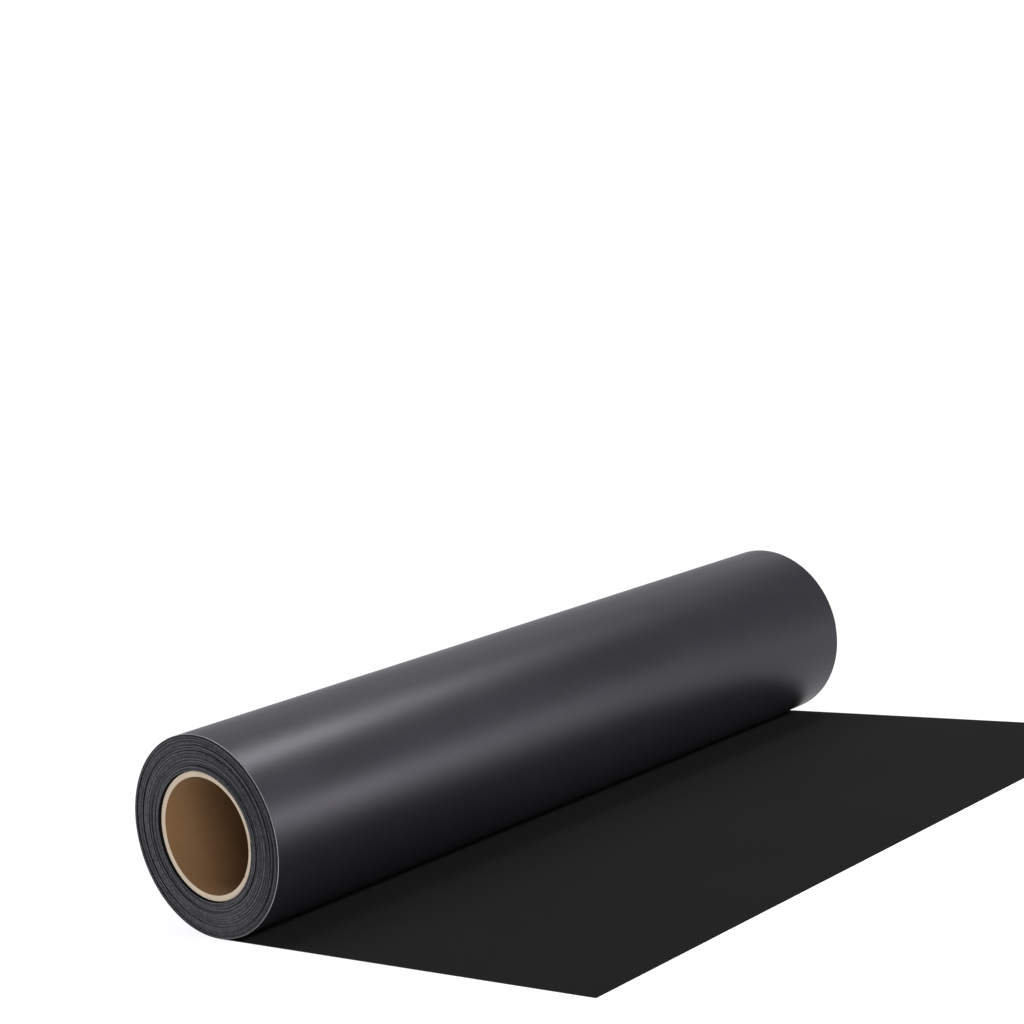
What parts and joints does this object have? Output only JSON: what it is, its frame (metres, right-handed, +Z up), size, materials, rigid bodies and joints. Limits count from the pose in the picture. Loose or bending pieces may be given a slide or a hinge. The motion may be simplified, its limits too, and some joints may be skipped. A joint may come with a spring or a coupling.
{
  "type": "roll of sign vinyl",
  "caption": "Roll of dark self-adhesive sign vinyl wound on a board core, lying on its side with a length of the sheet laid out flat from under it.",
  "frame": {"origin": "centre of the core's bore, on the roll's axis at the middle of its length", "axes": "+Y along the roll's axis; +X the way the sheet is laid out, from the line under the roll to the free edge; +Z up"},
  "size_m": [0.3707, 0.6108, 0.1313],
  "materials": {
    "core_board": "matte kraft board",
    "start_tape": "matte",
    "wound_web": "satin",
    "release_liner": "satin",
    "adhesive": "satin",
    "vinyl_film": "matte"
  },
  "bodies": {
    "laid_sheet": {"laid_liner": "release_liner", "laid_adhesive": "adhesive", "laid_film": "vinyl_film"},
    "outer_wrap": {"wrap_liner": "release_liner", "wrap_adhesive": "adhesive", "wrap_film": "vinyl_film"},
    "roll": {"core_ply_1": "core_board", "core_ply_2": "core_board", "core_ply_3": "core_board", "core_ply_4": "core_board", "core_ply_5": "core_board", "core_ply_6": "core_board", "core_ply_7": "core_board", "core_ply_8": "core_board", "start_tape_1": "start_tape", "start_tape_2": "start_tape", "start_tape_3": "start_tape", "wound_band_1": "wound_web", "wound_band_2": "wound_web", "wound_band_3": "wound_web", "wound_band_4": "wound_web", "wound_band_5": "wound_web", "wound_band_6": "wound_web", "wound_band_7": "wound_web", "wound_band_8": "wound_web", "wound_band_9": "wound_web", "wound_band_10": "wound_web"},
    "free_edge": {"edge_liner": "release_liner", "edge_adhesive": "adhesive", "edge_film": "vinyl_film"},
    "film_edge": {"peel_adhesive": "adhesive", "peel_film": "vinyl_film"}
  },
  "joints": [
    {"name": "roll_travel", "type": "slide", "parent": "laid_sheet", "child": "outer_wrap", "axis": [1, 0, 0], "range_m": [0, 0.195], "deforming": ["laid_liner", "laid_adhesive", "laid_film"]},
    {"name": "roll_spin", "type": "hinge", "parent": "outer_wrap", "child": "roll", "pos_m": [0, 0, 0], "axis": [0, 1, 0], "range_deg": [0, 175]},
    {"name": "edge_lift", "type": "hinge", "parent": "laid_sheet", "child": "free_edge", "pos_m": [0.255, 0, -0.0655], "axis": [0, -1, 0], "range_deg": [0, 45]},
    {"name": "film_peel", "type": "hinge", "parent": "free_edge", "child": "film_edge", "pos_m": [0.28, 0, -0.0655], "axis": [0, -1, 0], "range_deg": [0, 60]}
  ],
  "couplings": [
    {"joint": "roll_spin", "follows": "roll_travel", "rad_per_m": 15.267}
  ]
}
